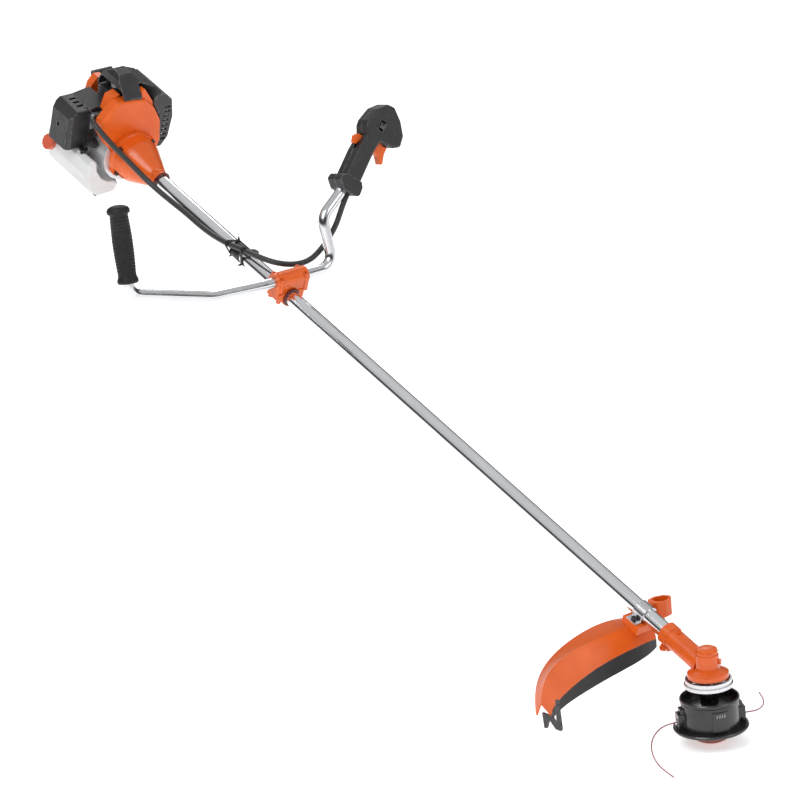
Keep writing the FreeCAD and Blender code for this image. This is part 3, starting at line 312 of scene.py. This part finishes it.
def cloudy_tank(name):
    """Milky, slightly see-through plastic with fuel standing in its lower part."""
    paint = Paint(name)
    split = paint.add("ShaderNodeSeparateXYZ")
    paint.put(split.inputs[0], paint.object_coords)
    level = paint.math("ADD", split.outputs["Z"], paint.math("MULTIPLY", paint.noise(9, 2), 0.004))
    wet = paint.spread(level, FUEL_LEVEL - 0.003, FUEL_LEVEL + 0.004, 1.0, 0.0, smooth=True)
    cloud = paint.spread(paint.noise(22, 4), 0.3, 0.7)
    dry = paint.mix(cloud, (0.80, 0.80, 0.80), (0.87, 0.87, 0.87))
    tone = paint.mix(paint.math("MULTIPLY", wet, 0.45), dry, (0.74, 0.73, 0.70))
    paint.normal = paint.rounded(0.0015)
    paint.bump(paint.noise(500, 2), 0.00004, 0.4)
    paint.set(Base_Color=tone, Roughness=paint.spread(paint.noise(60, 3), 0.3, 0.7, 0.30, 0.40),
              Subsurface_Weight=0.35, Transmission_Weight=0.12)
    paint.shader.inputs["Subsurface Radius"].default_value = (0.012, 0.011, 0.010)
    paint.shader.inputs["Subsurface Scale"].default_value = 1.0
    return paint.done()


def open_foam(name):
    """Open-celled foam, with painted shade darkening its cells."""
    paint = Paint(name)
    cells = paint.add("ShaderNodeTexVoronoi")
    paint.put(cells.inputs["Vector"], paint.object_coords)
    cells.inputs["Scale"].default_value = 600
    paint.bump(cells.outputs["Distance"], 0.0006, 0.9)
    # painted shade: the colour darkens where the bump sinks into each cell
    tone = paint.mix(cells.outputs["Distance"], (0.01, 0.01, 0.012), (0.06, 0.06, 0.065))
    paint.set(Base_Color=tone, Roughness=0.9)
    return paint.done()


def make_materials():
    return {
        "tube_chrome": polished("tube_chrome", PALE_METAL, 0.10, ALONG_TUBE, bevel=0),
        "bar_chrome": polished("bar_chrome", shade(PALE_METAL, 0.86), 0.13, ALONG_BAR, bevel=0),
        "steel": polished("bright_steel", (0.66, 0.66, 0.68), 0.24, streak=0.05),
        # the lighter edge colours below are partly rubbed wear and partly a painted highlight along the
        # chamfers
        "orange_plastic": moulded("orange_plastic", ORANGE, 0.33, 0.07, 0.00003, 700, 0.35,
                                  (0.92, 0.36, 0.12), coat=0.10, specular=0.32),
        "orange_paint": moulded("orange_paint", shade(ORANGE, 0.96), 0.30, 0.06, 0.00008, 420, 0.30,
                                (0.90, 0.38, 0.15), coat=0.22, specular=0.4),
        "orange_lever": moulded("orange_lever", ORANGE, 0.36, 0.05, edge_colour=(0.95, 0.42, 0.16)),
        "black_plastic": moulded("black_plastic", BLACK, 0.44, 0.22, 0.00007, 1100, 1.0,
                                 (0.30, 0.30, 0.31), 0.0015, dirt=0.25),
        "black_gloss": moulded("black_gloss", shade(BLACK, 0.7), 0.28, 0.2, 0.00003, 800, 0.5,
                               (0.14, 0.14, 0.15), coat=0.3),
        "rubber": moulded("black_rubber", shade(BLACK, 0.5), 0.55, 0.2, 0.00009, 1400, 0.35,
                          (0.09, 0.09, 0.095), specular=0.35, dirt=0.3),
        "cable": moulded("cable_sheath", (0.030, 0.029, 0.029), 0.42, 0.15, 0.00005, 1200, 0, dirt=0.3),
        "cast": cast_metal("cast_alloy", (0.66, 0.67, 0.69)),
        "dark_cast": cast_metal("dark_alloy", (0.07, 0.07, 0.075), 0.5),
        "tank": cloudy_tank("tank_plastic"),
        "cap": moulded("cap_plastic", (0.66, 0.12, 0.06), 0.34, 0.08, edge=0.3,
                       edge_colour=(0.85, 0.35, 0.22), coat=0.3),
        "oxide": moulded("oxide_steel", (0.050, 0.050, 0.054), 0.36, 0.2, 0.00006, 900, 0.6,
                         (0.35, 0.35, 0.36), metal=0.9),
        "line": moulded("nylon_line", (0.40, 0.17, 0.19), 0.30, 0.12, 0.00002, 900, 0, coat=0.3),
        "foam": open_foam("open_foam"),
        "ceramic": moulded("ceramic", (0.80, 0.79, 0.76), 0.15, 0.03, 0.00001, 600, 0, coat=0.5),
        # a near-black red for the rings that stand in for shade on the tube
        "red_shade": moulded("painted_shade_red", (0.10, 0.007, 0.006), 0.35, 0.1, edge=0.3),
        "print_grey": moulded("rib_grey", (0.30, 0.30, 0.31), 0.45, 0.1, edge=0),
        "knob": moulded("knob_plastic", (0.30, 0.055, 0.022), 0.30, 0.12, edge=0.35,
                        edge_colour=(0.60, 0.22, 0.12), coat=0.3),
    }


# every node that no piece below stands in for
NODE_PAINT = {
    "tube_chrome": ["outer_tube"],
    "bar_chrome": ["handlebar_left", "handlebar_right"],
    "steel": ["drive_shaft", "crankshaft", "output_gear_shaft", "ball_bearings", "upper_flange",
              "guard_clamp", "line_eyelets", "throttle_lever"],
    "orange_plastic": ["fan_cover", "guard", "starter_housing"],
    "orange_paint": ["clutch_housing", "clamp_base", "clamp_middle", "clamp_cap", "gear_case"],
    "orange_lever": ["throttle_trigger", "lockout_lever"],
    "black_plastic": ["top_cover", "muffler_cover", "air_filter_cover", "air_filter_base",
                      "handle_shell_front", "handle_shell_rear", "guard_skirt", "line_cutter",
                      "choke_lever", "starter_grip", "starter_pulley", "spool", "stop_switch"],
    "black_gloss": ["head_housing", "head_cover"],
    "rubber": ["spark_plug_boot", "fuel_line", "shaft_bushes"],
    "cast": ["crankcase", "piston", "carburettor", "flywheel_fan"],
    "dark_cast": ["cylinder"],
    "tank": ["fuel_tank"],
    "cap": ["fuel_cap"],
    "oxide": ["muffler", "clutch_drum", "clutch_shoes", "fasteners", "harness_eye_band"],
    "line": ["wound_line"],
    "foam": ["air_filter_element"],
    "ceramic": ["spark_plug"],
    "knob": ["bump_knob"],
}


def paint_nodes(paints):
    for paint, names in NODE_PAINT.items():
        for name in names:
            slots = NODES[name].material_slots
            if not slots:
                NODES[name].data.materials.append(paints[paint])
            for slot in slots:
                slot.material = paints[paint]


# ---------- cords ----------

LINE_DIAMETER = 2 * LINE_R * MM
CABLE_DIAMETER = 2 * CABLE_R * MM
NEAR_TAIL = [(-23.5, -44.1, -80), (-31, -58.3, -80.5), (-33, -78, -84), (-20, -104, -88.5), (3, -127, -93),
             (31, -144, -98), (57, -152, -102), (81, -154, -106)]
FAR_TAIL = [(23.5, 44.1, -80), (31, 58.3, -80), (32, 73, -81), (22, 92, -81), (4, 108, -81), (-20, 122, -82)]
CABLE_ROUTE = [
    (st(-144), -48, 56), (st(-131), -58, 66), (st(-120), -79, 76), (st(-98), -82, 73), (st(-64), -66, 50),
    (st(-38), -50, 32), (st(0), -33, 10), (st(46), -22, 0), (st(104), -20, 2), (st(160), -20, 2),
    (st(212), -20, 10), (st(258), -13, 20), (st(296), -6, 26), (st(324), 8, 28), (st(342), 32, 29),
    (st(345), 64, 30), (st(337), 95, 42),
]
CABLE_TO_HANDLE = [(118, 62, -5), (131, 86, -1), (142.1, 103.5, 0), (157.5, 121.9, 0)]


def cord_curve(name, points, diameter, paint):
    """A round cord whose control points are the route's."""
    data = bpy.data.curves.new(name, "CURVE")
    data.dimensions = "3D"
    data.bevel_depth = diameter / 2
    data.bevel_resolution = 5
    data.use_fill_caps = True
    data.resolution_u = 12
    spline = data.splines.new("NURBS")
    spline.points.add(len(points) - 1)
    for point, place in zip(spline.points, points):
        point.co = (*place, 1)
    spline.order_u = 3
    spline.use_endpoint_u = True
    data.materials.append(paint)
    piece = bpy.data.objects.new(name, data)
    bpy.context.scene.collection.objects.link(piece)
    return piece


def make_cords(paints):
    for name, node, route, length in (("near_line", "line_tail_near", NEAR_TAIL, 0.182),
                                      ("far_line", "line_tail_far", FAR_TAIL, 0.103)):
        points = [world(*p) for p in route]
        piece = cord_curve(name, points, LINE_DIAMETER, paints["line"])
        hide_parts(node)
        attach(piece, "head")
    points = [shaft(*p) for p in CABLE_ROUTE] + [shaft(*bar(*p)) for p in CABLE_TO_HANDLE]
    cable = cord_curve("throttle_conduit", points, CABLE_DIAMETER, paints["cable"])
    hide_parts("throttle_cable")
    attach(cable, "frame")


# ---------- small pieces that the CAD leaves out or shows more simply ----------

CREASE = math.radians(35)


def finish_piece(name, mesh, paint, body):
    """An object of the mesh, smooth but for its sharp edges and on its body."""
    mesh.materials.append(paint)
    for face in mesh.polygons:
        face.use_smooth = True
    mesh.set_sharp_from_angle(angle=CREASE)
    piece = bpy.data.objects.new(name, mesh)
    bpy.context.scene.collection.objects.link(piece)
    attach(piece, body)
    return piece


def turned(name, place, origin, axis, profile, paint, body, ring=True, segments=72):
    """A (distance, radius) profile turned about an axis.

    place is the frame of the origin and the axis. A ring's profile closes on itself, and any other has
    flat ends.
    """
    origin, axis = Vector(origin), Vector(axis).normalized()
    side = axis.orthogonal().normalized()
    other = axis.cross(side)
    points, faces = [], []
    for distance, radius in profile:
        for i in range(segments):
            a = 2 * math.pi * i / segments
            outwards = side * math.cos(a) + other * math.sin(a)
            points.append(place(*(origin + axis * distance + outwards * radius)))
    rows = len(profile)
    for row in range(rows if ring else rows - 1):
        following = (row + 1) % rows
        for i in range(segments):
            k = (i + 1) % segments
            faces.append((row * segments + i, following * segments + i, following * segments + k,
                          row * segments + k))
    if not ring:
        faces.append(tuple(range(segments)))
        faces.append(tuple(reversed(range((rows - 1) * segments, rows * segments))))
    mesh = bpy.data.meshes.new(name)
    mesh.from_pydata(points, [], faces)
    outward(mesh)
    return finish_piece(name, mesh, paint, body)


def outward(mesh):
    """Turns every face of a closed mesh to the outside."""
    work = bmesh.new()
    work.from_mesh(mesh)
    bmesh.ops.recalc_face_normals(work, faces=work.faces)
    work.to_mesh(mesh)
    work.free()


def band_mesh(name, inner, outer, x0, x1, closed=True):
    """A strip between two matching (y, z) lines in the shaft frame, x0 to x1."""
    points, faces, count = [], [], len(inner)
    for x in (x0, x1):
        points += [shaft(x, y, z) for y, z in inner] + [shaft(x, y, z) for y, z in outer]
    for i in range(count if closed else count - 1):
        k = (i + 1) % count
        a, b, c, d = i, count + i, 2 * count + i, 3 * count + i
        ka, kb, kc, kd = k, count + k, 2 * count + k, 3 * count + k
        faces += [(a, ka, kb, b), (c, d, kd, kc), (b, kb, kd, d), (a, c, kc, ka)]
    if not closed:
        for i in (0, count - 1):
            faces.append((i, count + i, 3 * count + i, 2 * count + i))
    mesh = bpy.data.meshes.new(name)
    mesh.from_pydata(points, [], faces)
    outward(mesh)
    return mesh


def loop_round(cable_y, cable_z, gap):
    """The outline of a tie drawn round the tube and the cable beside it, gap outside both."""
    steps = 24
    reach = math.hypot(cable_y, cable_z)
    toward = math.atan2(cable_z, cable_y)
    spread = math.acos((TUBE_R - CABLE_R) / reach)
    line = []
    for (y, z), radius, low, high in (((0, 0), TUBE_R + gap, spread, 2 * math.pi - spread),
                                      ((cable_y, cable_z), CABLE_R + gap, -spread, spread)):
        for i in range(steps + 1):
            a = toward + low + (high - low) * i / steps
            line.append((y + radius * math.cos(a), z + radius * math.sin(a)))
    return line


CABLE_TIES = [(226, -17.9, 13.0), (262, -12.3, 20.5)]    # station, and the cable's y and z there
TIE_TAILS = [(226, 75), (262, 215), (224.5, 250)]        # station, and degrees about the tube from +y
TIE_WIDTH = 4.8
TIE_INSIDE, TIE_OUTSIDE = 0.3, 1.8                       # clear of the tube and the cable
TAIL_PROFILE = [(0, 2.2), (3, 2.0), (6, 1.3), (8, 0.5)]


def make_cable_ties(paints):
    for number, (x, y, z) in enumerate(CABLE_TIES, 1):
        name = f"cable_tie_{number}"
        mesh = band_mesh(name, loop_round(y, z, TIE_INSIDE), loop_round(y, z, TIE_OUTSIDE),
                         st(x - TIE_WIDTH / 2), st(x + TIE_WIDTH / 2))
        finish_piece(name, mesh, paints["rubber"], "frame")
    for number, (x, turn) in enumerate(TIE_TAILS, 1):
        y, z = math.cos(math.radians(turn)), math.sin(math.radians(turn))
        root = TUBE_R + 1.0
        turned(f"tie_tail_{number}", shaft, (st(x), root * y, root * z), (-0.55, y, z), TAIL_PROFILE,
               paints["rubber"], "frame", ring=False, segments=4)


def make_shade_rings(paints):
    """Dark red rings on the tube, on the head side of the clutch housing and of the handlebar clamp, as
    painted shade for the groove at the clutch housing and the clamp's shadowed front opening.
    """
    bore = SHADE_RING_BORE_R
    # Both rings are painted shade: the clutch ring fills the shaded groove, the clamp ring the clamp's
    # shadowed front opening.
    for name, x, profile in (
            ("clutch_shade_ring", st(0.1), [(0, bore), (0, 17.0), (1.6, 17.6), (3.0, 16.6), (3.0, bore)]),
            ("clamp_shade_ring", HANDLEBAR_X + 17.1,
             [(0, bore), (0, 16.6), (2.4, 16.2), (3.0, 15.0), (3.0, bore)])):
        turned(name, shaft, (x, 0, 0), (1, 0, 0), profile, paints["red_shade"], "frame")


def make_tank_strap_and_shade(paints):
    """A rubber strap under the tank and a little way up one side of it, its black band also painted shadow
    between the tank and the crankcase.
    """
    # The black band is partly the strap and partly painted shadow between the tank and the crankcase.
    inner = [(-52, -84.6), (-14, -82.8), (-8.4, -70.5), (-13.6, -60.2)]
    outer = [(-52, -86.4), (-12.8, -84.6), (-6.6, -70.2), (-12.4, -58.8)]
    mesh = band_mesh("tank_strap_and_shade", inner, outer, st(-120), st(-111), closed=False)
    finish_piece("tank_strap_and_shade", mesh, paints["rubber"], "frame")


def make_primer(paints):
    turned("primer_bulb", shaft, (st(-129), -56, 16), (0, -1, 0.1),
           [(0, 9), (3, 9), (3.2, 7.6), (8, 7.2), (11.5, 5.2), (13.2, 2.4), (13.6, 0.4)], paints["rubber"],
           "frame", ring=False)


def make_head_ribs(paints):
    """Four plain upright ribs side by side on the head's wall."""
    count, spacing, middle = 4, math.radians(5), math.radians(-22)
    wall, bottom = 46.6, -64.5
    for i in range(count):
        a = middle + (i - (count - 1) / 2) * spacing
        turned(f"head_rib_{i + 1}", world, (wall * math.cos(a), wall * math.sin(a), bottom), (0, 0, 1),
               [(0, 0.9), (0.4, 1.1), (4.6, 1.1), (5, 0.9)], paints["print_grey"], "head",
               ring=False, segments=16)


def make_grip(paints):
    """The left grip with a swelling body and a domed end, in place of the CAD's straight one."""
    bend, end = Vector(bar(-316, 47)), Vector(bar(-311, 186))
    along = (end - bend).normalized()
    above_bend = 19
    rings, pitch, land, groove = 18, 5.4, 3.6, 0.55
    radius, swell = 15.2, 1.9
    profile = [(0, 9.6), (0, 16.6), (1.5, 17.6), (5, 17.8), (8, 16.6), (12, 15.4)]
    for i in range(rings):
        t = 14 + i * pitch
        r = radius + swell * math.sin(math.pi * (t - 12) / 100)
        profile += [(t, r), (t + land, r), (t + land + 0.5, r - groove), (t + land + 1.3, r - groove)]
    profile += [(112, 15.2), (114.5, 16.0), (116, 18.4), (118.5, 19.3), (122, 19.1), (125.5, 16.6),
                (128, 12.0), (129.4, 6.0), (129.8, 1.0)]
    piece = turned("left_grip_sleeve", shaft, bend + along * above_bend, along, profile, paints["rubber"],
                   "frame", ring=False, segments=96)
    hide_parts("left_grip")


def make_spring(paints):
    """The bump knob's spring as a wire coil, in place of the CAD's sleeve."""
    turns, steps, around = 6, 28, 10
    last = turns * steps
    low, high = SPRING_LOW + SPRING_WIRE_R, SPRING_TOP - SPRING_WIRE_R
    points, faces = [], []
    for i in range(last + 1):
        a = 2 * math.pi * i / steps
        z = low + (high - low) * i / last
        for k in range(around):
            b = 2 * math.pi * k / around
            r = SPRING_R + SPRING_WIRE_R * math.cos(b)
            points.append(world(r * math.cos(a), r * math.sin(a), z + SPRING_WIRE_R * math.sin(b)))
    for i in range(last):
        here, there = i * around, (i + 1) * around
        for k in range(around):
            n = (k + 1) % around
            faces.append((here + k, here + n, there + n, there + k))
    faces.append(tuple(range(around)))
    faces.append(tuple(reversed(range(last * around, (last + 1) * around))))
    mesh = bpy.data.meshes.new("knob_spring_coil")
    mesh.from_pydata(points, [], faces)
    outward(mesh)
    piece = finish_piece("knob_spring_coil", mesh, paints["steel"], "head")
    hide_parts("knob_spring")
    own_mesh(piece)


def tint_bolts(paints):
    """The clamp's and the gear case's bolts are painted with their castings."""
    mesh = NODES["fasteners"].data
    mesh.materials.append(paints["orange_paint"])
    groups = ((shaft(HANDLEBAR_X, 0, 20), 0.05), (world(-40, 0, 10), 0.07))    # middle, reach in metres
    for face in mesh.polygons:
        if any((face.center - middle).length < reach for middle, reach in groups):
            face.material_index = len(mesh.materials) - 1


# ---------- floor and light ----------

FLOOR_HALF = 40.0
FLOOR_GAP = 0.001
FLOOR_GLOW = 0.52
SKY_STRENGTH = 0.60
SKY_STOPS = [(0.0, 0.40), (0.05, 0.16), (0.20, 0.05), (0.34, 0.14), (0.50, 0.95), (1.0, 1.15)]


def make_stage():
    """A pale floor just below the object, glowing a little so that it reads as white."""
    half, z = FLOOR_HALF, CAD_BOX[0].z - FLOOR_GAP
    mesh = bpy.data.meshes.new("floor")
    mesh.from_pydata([(-half, -half, z), (half, -half, z), (half, half, z), (-half, half, z)], [],
                     [(0, 1, 2, 3)])
    floor = bpy.data.objects.new("floor", mesh)
    paint = Paint("floor_paint")
    tone = paint.mix(paint.noise(1.5, 3), (0.955, 0.955, 0.955), (0.97, 0.97, 0.97))
    paint.set(Base_Color=tone, Roughness=0.9, Specular_IOR_Level=0.1)
    paint.shader.inputs["Emission Color"].default_value = (1, 1, 1, 1)
    paint.shader.inputs["Emission Strength"].default_value = FLOOR_GLOW
    mesh.materials.append(paint.done())
    bpy.context.scene.collection.objects.link(floor)


def area_light(name, place, aim, size, power):
    """A soft box at place, facing aim."""
    data = bpy.data.lights.new(name, "AREA")
    data.shape = "RECTANGLE"
    data.size, data.size_y = size
    data.energy = power
    light = bpy.data.objects.new(name, data)
    light.location = place
    light.rotation_euler = (Vector(aim) - Vector(place)).to_track_quat("-Z", "Y").to_euler()
    bpy.context.scene.collection.objects.link(light)


def make_light():
    """A grey-banded sky for the metal to mirror, and three soft boxes."""
    scene = bpy.context.scene
    sky = bpy.data.worlds.new("studio")
    scene.world = sky
    sky.use_nodes = True
    nodes, links = sky.node_tree.nodes, sky.node_tree.links
    coords = nodes.new("ShaderNodeTexCoord")
    split = nodes.new("ShaderNodeSeparateXYZ")
    links.new(coords.outputs["Generated"], split.inputs[0])
    ramp = nodes.new("ShaderNodeValToRGB")
    links.new(split.outputs["Z"], ramp.inputs["Fac"])
    elements = ramp.color_ramp.elements
    elements[0].position = SKY_STOPS[0][0]
    elements[1].position = SKY_STOPS[-1][0]
    for position, _ in SKY_STOPS[1:-1]:
        elements.new(position)
    for element, (position, value) in zip(elements, SKY_STOPS):
        element.position = position
        element.color = (value, value, value * 1.01, 1)
    links.new(ramp.outputs["Color"], nodes["Background"].inputs["Color"])
    nodes["Background"].inputs["Strength"].default_value = SKY_STRENGTH
    area_light("key", (1.5, -3.2, 3.4), (-0.1, 0, -0.1), (2.4, 2.4), 92)
    area_light("fill", (4.2, 1.6, 2.2), (0.2, 0, -0.2), (2.0, 2.6), 34)
    area_light("back", (-3.0, 2.4, 3.0), (0, 0, -0.1), (2.4, 1.6), 46)
    scene.view_settings.view_transform = "Standard"


# ---------- build ----------

make_camera()
PAINTS = make_materials()
make_cords(PAINTS)
paint_nodes(PAINTS)
make_cable_ties(PAINTS)
make_shade_rings(PAINTS)
make_tank_strap_and_shade(PAINTS)
make_primer(PAINTS)
make_head_ribs(PAINTS)
make_grip(PAINTS)
make_spring(PAINTS)
tint_bolts(PAINTS)
make_stage()
make_light()
